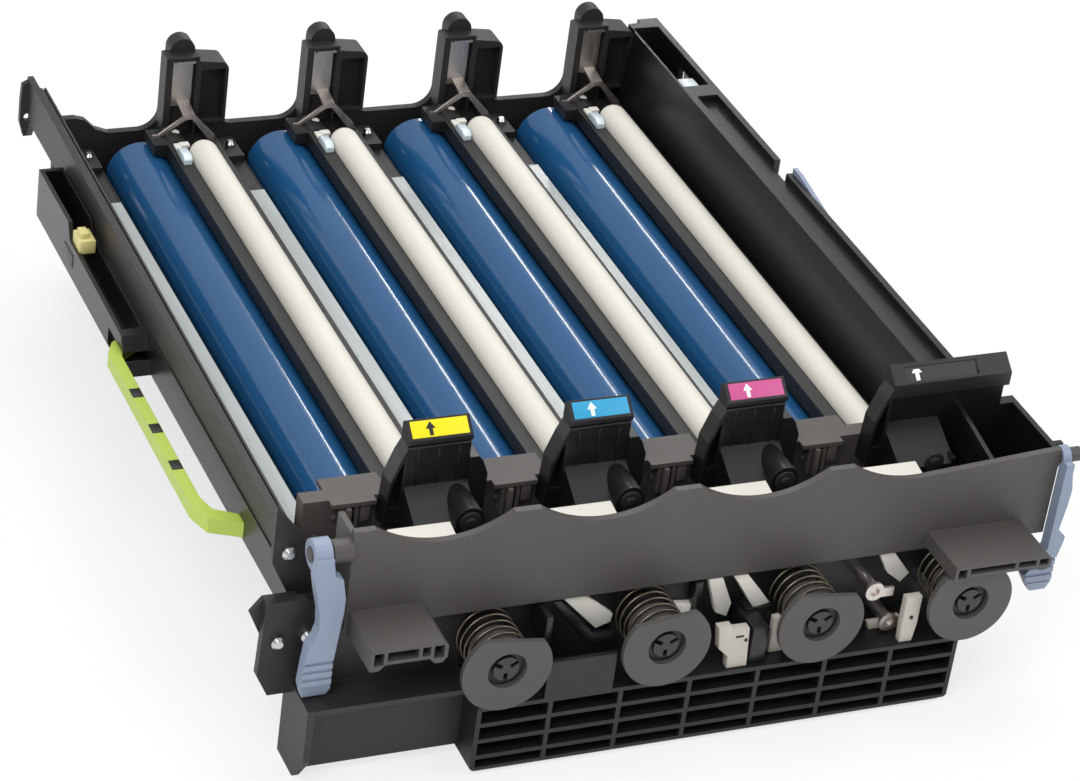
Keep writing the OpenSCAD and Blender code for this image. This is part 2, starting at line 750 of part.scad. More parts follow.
module hood(k) {
  at_station(k) color(black) {
    hood_body(-12, 9.5);
    hood_wing();
    along_y(hood_y0 + 1, bulk_y0) polygon([
      [9.5, hood_top - 13], [12.5, hood_top - 13], [14, hood_top - 15],
      [16, hood_top - 20], [16, shelf_z - 8], [9.5, shelf_z - 8]
    ]);
    rod_y(5.5, shelf_z + 0.5, 5, hood_y0 - 13, bulk_y0);
  }
}

// Last hood: its top reaches across an open bin at the right front corner
module hood_bin() {
  x0 = -6;
  x1 = panel_x1 - last * pitch;
  wall_y = hood_y0 + 4;
  at_station(last) color(black) {
    difference() {
      along_x(x0, x0 + 44) polygon([
        [bulk_y0, shelf_z + 10], [bulk_y0, hood_top - 2], [bulk_y0 - 1, hood_top - 1],
        [hood_y0 + 1, label_z - 1], [hood_y0 + 1, label_z - 6], [wall_y, label_z - 8],
        [wall_y, shelf_z + 10]
      ]);
      along_x(-1, 26) polygon([
        [bulk_y0 - 2, hood_top - 2.2], [hood_y0 + 2, label_z - 1.4],
        [hood_y0 + 1.4, label_z + 1], [bulk_y0 - 3, hood_top]
      ]);
    }
    slab([x0, x0 + 44], [wall_y, bulk_y0], [panel_z0, shelf_z + 10]);
    slab([x0 + 44, x1], [wall_y, bulk_y0], [panel_z0, panel_top - 4]);
    along_x(x0, 14.6) polygon([
      [wall_y, shelf_z - 8], [wall_y, shelf_z + 6], [hood_y0 - 12, shelf_z - 2],
      [hood_y0 - 12, shelf_z - 8]
    ]);
    slab([13, x1], [panel_y1, bulk_y0], [panel_z0, panel_z0 + 2]);
    slab([13, 14.6], [hood_y0 - 12, bulk_y0], [panel_z0, shelf_z]);
    slab([x1 - 2, x1], [panel_y1, bulk_y0], [panel_z0, panel_top - 4]);
    slab([x1 - 2, x1 + 4], [panel_y1 + 3, panel_y1 + 5], [panel_z0, panel_top - 5]);
    along_x(20.4, 22) polygon([
      [panel_y1, panel_z0], [panel_y1, panel_top - 6.5], [bulk_y0, panel_top],
      [bulk_y0, panel_z0]
    ]);
    translate([6, 0, 0]) hood_wing();
  }
}

module drum(k) {
  at_station(k) color("#2f5f95") difference() {
    rod_y(drum_x, drum_z, drum_r, drum_y0, drum_y1, $fn = 96);
    rod_y(drum_x, drum_z, drum_r - drum_wall, drum_y0 - 1, drum_y1 + 1, $fn = 96);
  }
}

// Steel axle with the two flanges that are pressed into the drum tube
module drum_axle(k) {
  at_station(k) color("#d8d8d4") {
    rod_y(drum_x, drum_z, axle_r, bulk_y0 + 0.5, gear_y1);
    rod_y(drum_x, drum_z, drum_r - drum_wall, drum_y0, drum_y0 + 8);
    rod_y(drum_x, drum_z, drum_r - drum_wall, drum_y1 - 8, drum_y1);
    rod_y(drum_x, drum_z, axle_r + 2, drum_y1, -0.6);
    rod_y(drum_x, drum_z, axle_r + 2, bulk_y1 + 0.6, drum_y0);
  }
}

module drum_gear(k) {
  at_station(k) color("#353538") difference() {
    union() {
      translate([drum_x, gear_y1, drum_z]) rotate([90, 0, 0]) linear_extrude(gear_w)
        rotate(mesh_angle) gear_2d(drum_teeth, false);
      rod_y(drum_x, drum_z, 6.5, gear_y1, gear_y1 + 4);
    }
    rod_y(drum_x, drum_z, axle_r, gear_y0 - 1, gear_y1);
    translate([drum_x, gear_y1 + 5, drum_z]) rotate([90, 0, 0]) cylinder(r = 4.4, h = 5, $fn = 3);
  }
}

// Waste auger shaft with its gear and the three-slot coupler in the port
module waste_auger(k) {
  coupler_y1 = disc_y1 + 3;
  at_station(k) color("#e9e7e0") {
    rod_y(auger_x, auger_z, auger_shaft_r, coupler_y1, gear_y1);
    translate([auger_x, gear_y1, auger_z]) rotate([90, 0, 0]) linear_extrude(gear_w)
      rotate(180 + mesh_angle) gear_2d(auger_teeth, true);
    difference() {
      rod_y(auger_x, auger_z, port_in_r - run_fit, disc_y1 - 1, coupler_y1);
      for (a = [90, 210, 330])
        translate([auger_x, disc_y1 - 2, auger_z]) rotate([0, a, 0])
          translate([1.6, 0, -0.7]) cube([4, 3, 1.4]);
    }
  }
}

module charge_roller(k) {
  at_station(k) color("#3a3a3c") {
    rod_y(charge_x, charge_z, charge_shaft_r, bulk_y0 + 0.5, rear_wall_t - 0.4);
    rod_y(charge_x, charge_z, charge_r, drum_y0 + 3, drum_y1 - 3);
  }
}

module cleaner_bar(k) {
  y1 = -24;
  y0 = bulk_y1;
  wiper_x = bar_x0 + 0.3;
  wiper_drop = drum_z + sqrt(pow(drum_r + move_gap, 2) - pow(wiper_x - drum_x, 2));
  at_station(k) color("#e9e6dc") {
    difference() {
      union() {
        slab([bar_x0, bar_x1], [y0, y1 - bar_r], [seat_z, bar_z]);
        rod_y(bar_xm, bar_z, bar_r, y0, y1 - bar_r);
        translate([bar_xm, y1 - bar_r, seat_z]) cylinder(r = bar_r, h = bar_z - seat_z);
        translate([bar_xm, y1 - bar_r, bar_z]) sphere(bar_r);
      }
      slab([bar_x0 - 1, bar_x1 + 1], [y0 - 1, y1 + 1], [seat_z - bar_r, seat_z]);
    }
    slab([wiper_x, wiper_x + 1], [drum_y0 + 4, y1 - 12], [wiper_drop, seat_z + 1]);
  }
}

module film_seal(k) {
  at_station(k) color("#aeb9bb")
    slab([house_x0 + 2.1, drum_x - 16], [bulk_y1 + 6, -38], [film_z, film_z + 0.7]);
}

module station_housing(k) {
  ledge_x = drum_x - bay_r - 3;
  at_station(k) color(dark) difference() {
    union() {
      along_y(bulk_y1, 0) polygon([
        [house_x0 + under_w, base_h + 11], [house_x0 + 9.5, base_h],
        [house_x1 + under_w, base_h], [house_x1 + under_w, under_z], [house_x1, under_z],
        [house_x1, seat_z + 2.2], [bar_x1 + 0.3, seat_z + 2.2], [bar_x1 + 0.3, seat_z],
        [bar_x0 - 0.2, seat_z], [bar_x0 - 0.2, strip_z], [-8.5, strip_z],
        [-8.5, film_z - 3.3], [ledge_x, film_z - 3.3], [ledge_x, film_z],
        [house_x0, film_z], [house_x0, under_z + seam], [house_x0 + under_w, under_z + seam]
      ]);
      rod_y(auger_x, auger_z, port_r, disc_y1, bulk_y1);
      slab([-13.5, -8.5], [-20, -8], [seat_z - 1, strip_z]);
      rod_y(-4, seat_z + 1.5, 4, -20, -8);
      slab([house_x0 + 2.5, drum_x - 16.5], [-16, -1], [film_z, film_z + 3]);
    }
    rod_y(drum_x, drum_z, bay_r, bulk_y1 - 1, 1);
    rod_y(charge_x, charge_z, charge_channel_r, bulk_y1 - 1, 1);
    rod_y(auger_x, auger_z, auger_bore_r, bulk_y0, 1);
    rod_y(auger_x, auger_z, port_in_r, disc_y1 - 1, bulk_y0);
    slab([auger_x - 2.5, auger_x + 2.5], [disc_y1 + 3.2, disc_y1 + 0.95 * shutter_travel],
         [auger_z - port_r - 1, auger_z]);
    slab([drum_x, auger_x], [drum_y0 + 8, -16], [auger_z - 1, auger_z + 1]);
    slab([bar_x0 - 0.2, bar_x0 + 1.6], [drum_y0 + 3, -35], [drum_z, seat_z + 1]);
    slab([-9, house_x1 + 1], [-8, 1], [seat_z, seat_z + 9]);
  }
}

// Disc that shuts the port, with a sleeve that slides on the port tube
module shutter_disc(k) {
  at_station(k) color("#4a4a4c") difference() {
    union() {
      difference() {
        rod_y(auger_x, auger_z, disc_r, disc_y0, disc_y1, $fn = 72);
        translate([auger_x, 0, auger_z]) rotate([0, disc_turn[k], 0])
          slab([-disc_r, disc_r], [disc_y0 - 1, disc_y1 + 1], [disc_flat, disc_r + 1]);
      }
      rod_y(auger_x, auger_z, sleeve_out_r, disc_y1, disc_y1 + sleeve_len);
    }
    rod_y(auger_x, auger_z, sleeve_r, disc_y0 - 1, disc_y1 + sleeve_len + 1);
  }
}

module shutter_spring(k) {
  r = spring_d / 2 - spring_wire / 2;
  w = spring_wire / 2;
  rise = (spring_len - 2 * spring_wire) / spring_turns;
  at_station(k) color("#7d7a78")
    translate([auger_x, apron_y0 - spring_wire, auger_z]) rotate([90, 0, 0])
      helix([for (a = [0 : 60 : 300]) [r + w * cos(a), w * sin(a)]],
            rise, spring_turns, 20);
}

rear_wall();
left_rail();
left_side_wall();
right_trough();
front_panel();
front_bulkhead();
lower_housing();
base_skirt();
corner_bracket();
lever(left_lever_x, left_lever_outline(), 4.5, 10.2, 5);  // left_lever
lever(panel_x1, right_lever_outline(), 0.3, 3.3, hub_r);  // right_lever
green_handle();
screws();
metal_contacts();
white_inserts();
grip_tab();
hood(0);  // hood_1
hood(1);  // hood_2
hood(2);  // hood_3
hood_bin();  // hood_4
drum(0);  // drum_1
drum(1);  // drum_2
drum(2);  // drum_3
drum(3);  // drum_4
drum_axle(0);  // drum_axle_1
drum_axle(1);  // drum_axle_2
drum_axle(2);  // drum_axle_3
drum_axle(3);  // drum_axle_4
drum_gear(0);  // drum_gear_1
drum_gear(1);  // drum_gear_2
drum_gear(2);  // drum_gear_3
drum_gear(3);  // drum_gear_4
cleaner_bar(0);  // cleaner_bar_1
cleaner_bar(1);  // cleaner_bar_2
cleaner_bar(2);  // cleaner_bar_3
cleaner_bar(3);  // cleaner_bar_4
station_housing(0);  // station_housing_1
station_housing(1);  // station_housing_2
station_housing(2);  // station_housing_3
station_housing(3);  // station_housing_4
film_seal(0);  // film_seal_1
film_seal(1);  // film_seal_2
film_seal(2);  // film_seal_3
film_seal(3);  // film_seal_4
shutter_disc(0);  // shutter_disc_1
shutter_disc(1);  // shutter_disc_2
shutter_disc(2);  // shutter_disc_3
shutter_disc(3);  // shutter_disc_4
shutter_spring(0);  // shutter_spring_1
shutter_spring(1);  // shutter_spring_2
shutter_spring(2);  // shutter_spring_3
shutter_spring(3);  // shutter_spring_4
waste_auger(0);  // waste_auger_1
waste_auger(1);  // waste_auger_2
waste_auger(2);  // waste_auger_3
waste_auger(3);  // waste_auger_4
charge_roller(0);  // charge_roller_1
charge_roller(1);  // charge_roller_2
charge_roller(2);  // charge_roller_3
charge_roller(3);  // charge_roller_4
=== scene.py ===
"""Looks of a printer drum unit: finishes for the solids, and the small pieces around them."""
import math

import bpy
from bpy.props import FloatProperty, FloatVectorProperty, PointerProperty
from mathutils import Matrix, Vector


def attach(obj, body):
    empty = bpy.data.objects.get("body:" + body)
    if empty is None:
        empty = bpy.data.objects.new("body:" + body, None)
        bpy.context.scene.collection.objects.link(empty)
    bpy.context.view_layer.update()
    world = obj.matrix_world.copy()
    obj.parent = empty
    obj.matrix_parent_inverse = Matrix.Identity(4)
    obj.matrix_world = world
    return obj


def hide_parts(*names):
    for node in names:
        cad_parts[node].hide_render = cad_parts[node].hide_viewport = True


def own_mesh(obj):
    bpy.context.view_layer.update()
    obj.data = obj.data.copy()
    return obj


bl_info = {
    "name": "Printer Drum Unit",
    "version": (1, 0, 0),
    "blender": (4, 5, 0),
    "location": "View3D > Sidebar > Drum Unit",
    "description": "Dresses the drum unit's solids with finishes, labels, clips and inserts",
    "category": "Object",
}

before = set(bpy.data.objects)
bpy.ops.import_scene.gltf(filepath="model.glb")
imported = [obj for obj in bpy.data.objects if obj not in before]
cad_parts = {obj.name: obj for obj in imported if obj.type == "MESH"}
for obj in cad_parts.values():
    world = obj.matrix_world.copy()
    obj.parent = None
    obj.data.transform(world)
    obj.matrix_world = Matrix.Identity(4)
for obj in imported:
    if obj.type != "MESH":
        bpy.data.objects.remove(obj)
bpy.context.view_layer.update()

# Station millimetres: x from the first tower, y from the rear wall, z from the floor
ORIGIN_X = 75.5
ORIGIN_Y = -150.15
PITCH = 55.0
STATIONS = (0, 1, 2, 3)
HOOD_FACE = ((-275.0, 101.5), (-269.5, 106.0))
APRON_Y = -299.0
DRUM_X = -15.0
AUGER_X = 9.8775
AUGER_Z = 42.9
SPRING_R = 9.55
SPRING_TURNS = 5.5
SPRING_RISE = 18.2
MM = 0.001


def place(x, y, z):
    """Station millimetres to the part's metres"""
    return Vector(((x - ORIGIN_X) * MM, (y - ORIGIN_Y) * MM, z * MM))


def srgb(text):
    """A colour written as six hex digits, made linear"""
    parts = [int(text[i:i + 2], 16) / 255 for i in (1, 3, 5)]
    return [c / 12.92 if c <= 0.04045 else ((c + 0.055) / 1.055) ** 2.4 for c in parts]


def colour_prop(name, text, note):
    return FloatVectorProperty(name=name, description=note, subtype="COLOR", size=3, min=0, max=1, default=srgb(text))


def size_prop(name, value, note):
    return FloatProperty(name=name, description=note, default=value, min=0.01, max=60, unit="NONE")


class DrumUnitSizes(bpy.types.PropertyGroup):
    """Sizes of the small pieces, in millimetres"""
    label_t: size_prop("Label thickness", 0.15, "Thickness of the hood labels in millimetres")
    label_w: size_prop("Label width", 19.2, "Width of the hood labels in millimetres")
    arrow_h: size_prop("Arrow height", 4.6, "Height of the label arrows in millimetres")
    clip_w: size_prop("Clip width", 3.4, "Width of the clear clips beside the drums in millimetres")
    film_reach: size_prop("Film reach", 5.2, "Width of the extra film beside each bar in millimetres")
    wire_r: size_prop("Wire radius", 0.45, "Radius of the shutter springs' wire in millimetres")
    flight_r: size_prop("Flight radius", 3.2, "Outer radius of the auger flights in millimetres")
    flight_pitch: size_prop("Flight pitch", 9.0, "Advance of the auger flights per turn in millimetres")
    edge_r: size_prop("Edge radius", 0.35, "Radius at which moulded edges catch the light in millimetres")


class DrumUnitColours(bpy.types.PropertyGroup):
    """Colours of the mouldings, labels and coatings"""
    panel: colour_prop("Panel grey", "#4d4a48", "Warm grey of the front panel")
    shelf: colour_prop("Shelf grey", "#4f4b48", "Grey-brown of the shelf plates")
    frame_dark: colour_prop("Frame", "#242222", "Dark grey of the inner frame")
    black: colour_prop("Black", "#141315", "Black of the hoods and the block")
    disc: colour_prop("Disc grey", "#4c4a49", "Grey of the shutter discs")
    lever: colour_prop("Lever blue", "#8a96ac", "Grey-blue of the grip levers")
    handle: colour_prop("Handle green", "#b4cc55", "Lime green of the carry handle")
    ivory: colour_prop("Ivory", "#d9d6cc", "Ivory of the cleaner bars")
    white: colour_prop("White", "#dcd9d1", "White of the small inserts")
    drum: colour_prop("Drum blue", "#1d5585", "Deep blue of the drum coating")
    film: colour_prop("Film", "#b0b6b5", "Pale blue-grey of the seal film")
    yellow: colour_prop("Yellow label", "#efdc00", "Label of the first station")
    cyan: colour_prop("Cyan label", "#2f9bc9", "Label of the second station")
    magenta: colour_prop("Magenta label", "#c4528c", "Label of the third station")


# ---------------------------------------------------------------- shader groups

def new_group(name, inputs, outputs):
    """Empty shader group with named sockets; returns the tree and its two ends"""
    tree = bpy.data.node_groups.new(name, "ShaderNodeTree")
    kinds = {"f": "NodeSocketFloat", "c": "NodeSocketColor", "v": "NodeSocketVector"}
    for label, kind, value in inputs:
        sock = tree.interface.new_socket(name=label, in_out="INPUT", socket_type=kinds[kind])
        if value is not None:
            sock.default_value = value
    for label, kind in outputs:
        tree.interface.new_socket(name=label, in_out="OUTPUT", socket_type=kinds[kind])
    return tree, tree.nodes.new("NodeGroupInput"), tree.nodes.new("NodeGroupOutput")


def node(tree, kind, inputs=(), **settings):
    """Adds a node; inputs are (socket, value or output socket) pairs"""
    n = tree.nodes.new(kind)
    for key, value in settings.items():
        setattr(n, key, value)
    for sock, value in inputs:
        if isinstance(value, bpy.types.NodeSocket):
            tree.links.new(value, n.inputs[sock])
        else:
            n.inputs[sock].default_value = value
    return n


def edge_wear_group():
    """Rounds hard edges in the shading and gives a mask of where they are rubbed"""
    tree, gin, gout = new_group(
        "Edge wear", [("Radius", "f", 0.0004), ("Amount", "f", 0.5), ("Patch Scale", "f", 60.0)],
        [("Mask", "f"), ("Normal", "v")])
    coords = node(tree, "ShaderNodeTexCoord")
    bevel = node(tree, "ShaderNodeBevel", [("Radius", gin.outputs["Radius"])], samples=4)
    geometry = node(tree, "ShaderNodeNewGeometry")
    dot = node(tree, "ShaderNodeVectorMath", [(0, bevel.outputs[0]), (1, geometry.outputs["Normal"])],
               operation="DOT_PRODUCT")
    edge = node(tree, "ShaderNodeMapRange", [(0, dot.outputs["Value"]), (1, 1.0), (2, 0.86), (3, 0.0), (4, 1.0)])
    patches = node(tree, "ShaderNodeTexNoise", [("Vector", coords.outputs["Object"]),
                                                ("Scale", gin.outputs["Patch Scale"]), ("Detail", 5.0)])
    torn = node(tree, "ShaderNodeMapRange", [(0, patches.outputs[0]), (1, 0.42), (2, 0.68), (3, 0.15), (4, 1.0)])
    both = node(tree, "ShaderNodeMath", [(0, edge.outputs[0]), (1, torn.outputs[0])], operation="MULTIPLY")
    mask = node(tree, "ShaderNodeMath", [(0, both.outputs[0]), (1, gin.outputs["Amount"])], operation="MULTIPLY",
                use_clamp=True)
    tree.links.new(mask.outputs[0], gout.inputs["Mask"])
    tree.links.new(bevel.outputs[0], gout.inputs["Normal"])
    return tree


def moulded_group():
    """Fine spark-eroded grain with slow changes of shade, for moulded plastic"""
    tree, gin, gout = new_group(
        "Moulded plastic",
        [("Color", "c", None), ("Rubbed Color", "c", None), ("Wear Mask", "f", 0.0), ("Roughness", "f", 0.45),
         ("Grain Scale", "f", 1400.0), ("Grain Depth", "f", 0.25), ("Shade Change", "f", 0.12), ("Normal", "v", None)],
        [("Color", "c"), ("Roughness", "f"), ("Normal", "v")])
    coords = node(tree, "ShaderNodeTexCoord")
    grain = node(tree, "ShaderNodeTexNoise", [("Vector", coords.outputs["Object"]),
                                              ("Scale", gin.outputs["Grain Scale"]), ("Detail", 3.0)])
    slow = node(tree, "ShaderNodeTexNoise", [("Vector", coords.outputs["Object"]), ("Scale", 14.0), ("Detail", 6.0),
                                             ("Roughness", 0.6)])
    span = node(tree, "ShaderNodeMath", [(0, slow.outputs[0]), (1, 0.5)], operation="SUBTRACT")
    amount = node(tree, "ShaderNodeMath", [(0, span.outputs[0]), (1, gin.outputs["Shade Change"])],
                  operation="MULTIPLY")
    gain = node(tree, "ShaderNodeMath", [(0, amount.outputs[0]), (1, 2.0), (2, 1.0)], operation="MULTIPLY_ADD")
    shaded = node(tree, "ShaderNodeVectorMath", [(0, gin.outputs["Color"]), ("Scale", gain.outputs[0])],
                  operation="SCALE")
    worn = node(tree, "ShaderNodeMix", [(0, gin.outputs["Wear Mask"]), (6, shaded.outputs[0]),
                                        (7, gin.outputs["Rubbed Color"])], data_type="RGBA")
    rough = node(tree, "ShaderNodeMath", [(0, grain.outputs[0]), (1, 0.16), (2, gin.outputs["Roughness"])],
                 operation="MULTIPLY_ADD")
    bump = node(tree, "ShaderNodeBump", [("Height", grain.outputs[0]), ("Strength", gin.outputs["Grain Depth"]),
                                         ("Distance", 0.00008), ("Normal", gin.outputs["Normal"])])
    tree.links.new(worn.outputs[2], gout.inputs["Color"])
    tree.links.new(rough.outputs[0], gout.inputs["Roughness"])
    tree.links.new(bump.outputs[0], gout.inputs["Normal"])
    return tree


def brushed_group():
    """Drawn streaks along one axis, for sheet metal and wire"""
    tree, gin, gout = new_group(
        "Drawn metal", [("Color", "c", None), ("Dark Color", "c", None), ("Stretch", "v", (60.0, 900.0, 900.0)),
                        ("Roughness", "f", 0.3)],
        [("Color", "c"), ("Roughness", "f"), ("Normal", "v")])
    coords = node(tree, "ShaderNodeTexCoord")
    along = node(tree, "ShaderNodeVectorMath", [(0, coords.outputs["Object"]), (1, gin.outputs["Stretch"])],
                 operation="MULTIPLY")
    streak = node(tree, "ShaderNodeTexNoise", [("Vector", along.outputs[0]), ("Scale", 1.0), ("Detail", 4.0)])
    tint = node(tree, "ShaderNodeMix", [(0, streak.outputs[0]), (6, gin.outputs["Dark Color"]),
                                        (7, gin.outputs["Color"])], data_type="RGBA")
    rough = node(tree, "ShaderNodeMath", [(0, streak.outputs[0]), (1, 0.2), (2, gin.outputs["Roughness"])],
                 operation="MULTIPLY_ADD")
    bump = node(tree, "ShaderNodeBump", [("Height", streak.outputs[0]), ("Strength", 0.12), ("Distance", 0.00005)])
    tree.links.new(tint.outputs[2], gout.inputs["Color"])
    tree.links.new(rough.outputs[0], gout.inputs["Roughness"])
    tree.links.new(bump.outputs[0], gout.inputs["Normal"])
    return tree


def blank_material(name):
    mat = bpy.data.materials.new(name)
    mat.use_nodes = True
    tree = mat.node_tree
    tree.nodes.clear()
    shader = tree.nodes.new("ShaderNodeBsdfPrincipled")
    out = tree.nodes.new("ShaderNodeOutputMaterial")
    tree.links.new(shader.outputs[0], out.inputs[0])
    return mat, tree, shader


def group_node(tree, group, inputs):
    n = tree.nodes.new("ShaderNodeGroup")
    n.node_tree = bpy.data.node_groups[group]
    for sock, value in inputs:
        if isinstance(value, bpy.types.NodeSocket):
            tree.links.new(value, n.inputs[sock])
        else:
            n.inputs[sock].default_value = value
    return n


def rgba(colour, gain=1.0):
    return tuple(min(1.0, c * gain) for c in colour) + (1.0,)


def moulded(name, colour, rough=0.42, grain=1400.0, depth=0.25, change=0.14, wear=0.5, rub=2.2, edge=None, coat=0.0,
            lift=0.0):
    """Moulded plastic with grain, rubbed edges and slow changes of shade"""
    mat, tree, shader = blank_material(name)
    radius = (bpy.context.scene.drum_unit_sizes.edge_r if edge is None else edge) * MM
    wear_node = group_node(tree, "Edge wear", [("Radius", radius), ("Amount", wear)])
    rubbed = tuple(min(1.0, c * rub + lift) for c in colour) + (1.0,)
    body = group_node(tree, "Moulded plastic", [
        ("Color", rgba(colour)), ("Rubbed Color", rubbed), ("Wear Mask", wear_node.outputs["Mask"]),
        ("Roughness", rough), ("Grain Scale", grain), ("Grain Depth", depth), ("Shade Change", change),
        ("Normal", wear_node.outputs["Normal"])])
    tree.links.new(body.outputs["Color"], shader.inputs["Base Color"])
    tree.links.new(body.outputs["Roughness"], shader.inputs["Roughness"])
    tree.links.new(body.outputs["Normal"], shader.inputs["Normal"])
    shader.inputs["Coat Weight"].default_value = coat
    shader.inputs["Coat Roughness"].default_value = 0.18
    return mat


def drawn_metal(name, colour, dark, stretch, rough=0.28):
    mat, tree, shader = blank_material(name)
    body = group_node(tree, "Drawn metal", [("Color", rgba(colour)), ("Dark Color", rgba(dark)),
                                            ("Stretch", stretch), ("Roughness", rough)])
    for out, sock in (("Color", "Base Color"), ("Roughness", "Roughness"), ("Normal", "Normal")):
        tree.links.new(body.outputs[out], shader.inputs[sock])
    shader.inputs["Metallic"].default_value = 1.0
    return mat


def drum_material(colour):
    """Photoconductor coating: deep blue and glassy, with faint streaks along the drum"""
    mat, tree, shader = blank_material("Drum coating")
    coords = node(tree, "ShaderNodeTexCoord")
    stretch = node(tree, "ShaderNodeVectorMath", [(0, coords.outputs["Object"]), (1, (500.0, 9.0, 500.0))],
                   operation="MULTIPLY")
    streak = node(tree, "ShaderNodeTexNoise", [("Vector", stretch.outputs[0]), ("Scale", 1.0), ("Detail", 3.0)])
    rings = node(tree, "ShaderNodeTexNoise", [("Vector", coords.outputs["Object"]), ("Scale", 22.0), ("Detail", 5.0)])
    tone = node(tree, "ShaderNodeMix", [(0, streak.outputs[0]), (6, rgba(colour, 0.82)), (7, rgba(colour, 1.2))],
                data_type="RGBA")
    shade = node(tree, "ShaderNodeMix", [(0, rings.outputs[0]), (6, tone.outputs[2]), (7, rgba(colour, 0.9))],
                 data_type="RGBA")
    rough = node(tree, "ShaderNodeMapRange", [(0, rings.outputs[0]), (3, 0.14), (4, 0.24)])
    tree.links.new(shade.outputs[2], shader.inputs["Base Color"])
    tree.links.new(rough.outputs[0], shader.inputs["Roughness"])
    shader.inputs["Coat Weight"].default_value = 0.6
    shader.inputs["Coat Roughness"].default_value = 0.08
    return mat


def film_material(colour):
    """Thin seal film with long waves in it"""
    mat, tree, shader = blank_material("Seal film")
    coords = node(tree, "ShaderNodeTexCoord")
    stretch = node(tree, "ShaderNodeVectorMath", [(0, coords.outputs["Object"]), (1, (120.0, 14.0, 60.0))],
                   operation="MULTIPLY")
    wave = node(tree, "ShaderNodeTexNoise", [("Vector", stretch.outputs[0]), ("Scale", 1.0), ("Detail", 2.0)])
    tone = node(tree, "ShaderNodeMix", [(0, wave.outputs[0]), (6, rgba(colour, 0.8)), (7, rgba(colour, 1.15))],
                data_type="RGBA")
    bump = node(tree, "ShaderNodeBump", [("Height", wave.outputs[0]), ("Strength", 0.35), ("Distance", 0.0006)])
    rough = node(tree, "ShaderNodeMapRange", [(0, wave.outputs[0]), (3, 0.18), (4, 0.36)])
    tree.links.new(tone.outputs[2], shader.inputs["Base Color"])
    tree.links.new(rough.outputs[0], shader.inputs["Roughness"])
    tree.links.new(bump.outputs[0], shader.inputs["Normal"])
    return mat


def clear_material():
    """Pale blue clear plastic, faintly cloudy"""
    mat, tree, shader = blank_material("Clear clip plastic")
    coords = node(tree, "ShaderNodeTexCoord")
    cloud = node(tree, "ShaderNodeTexNoise", [("Vector", coords.outputs["Object"]), ("Scale", 500.0),
                                              ("Detail", 3.0)])
    tone = node(tree, "ShaderNodeMix", [(0, cloud.outputs[0]), (6, rgba(srgb("#b9cbd3"))), (7, rgba(srgb("#dbe4e8")))],
                data_type="RGBA")
    rough = node(tree, "ShaderNodeMapRange", [(0, cloud.outputs[0]), (3, 0.1), (4, 0.3)])
    tree.links.new(tone.outputs[2], shader.inputs["Base Color"])
    tree.links.new(rough.outputs[0], shader.inputs["Roughness"])
    shader.inputs["Coat Weight"].default_value = 0.5
    return mat


MATERIALS = {}


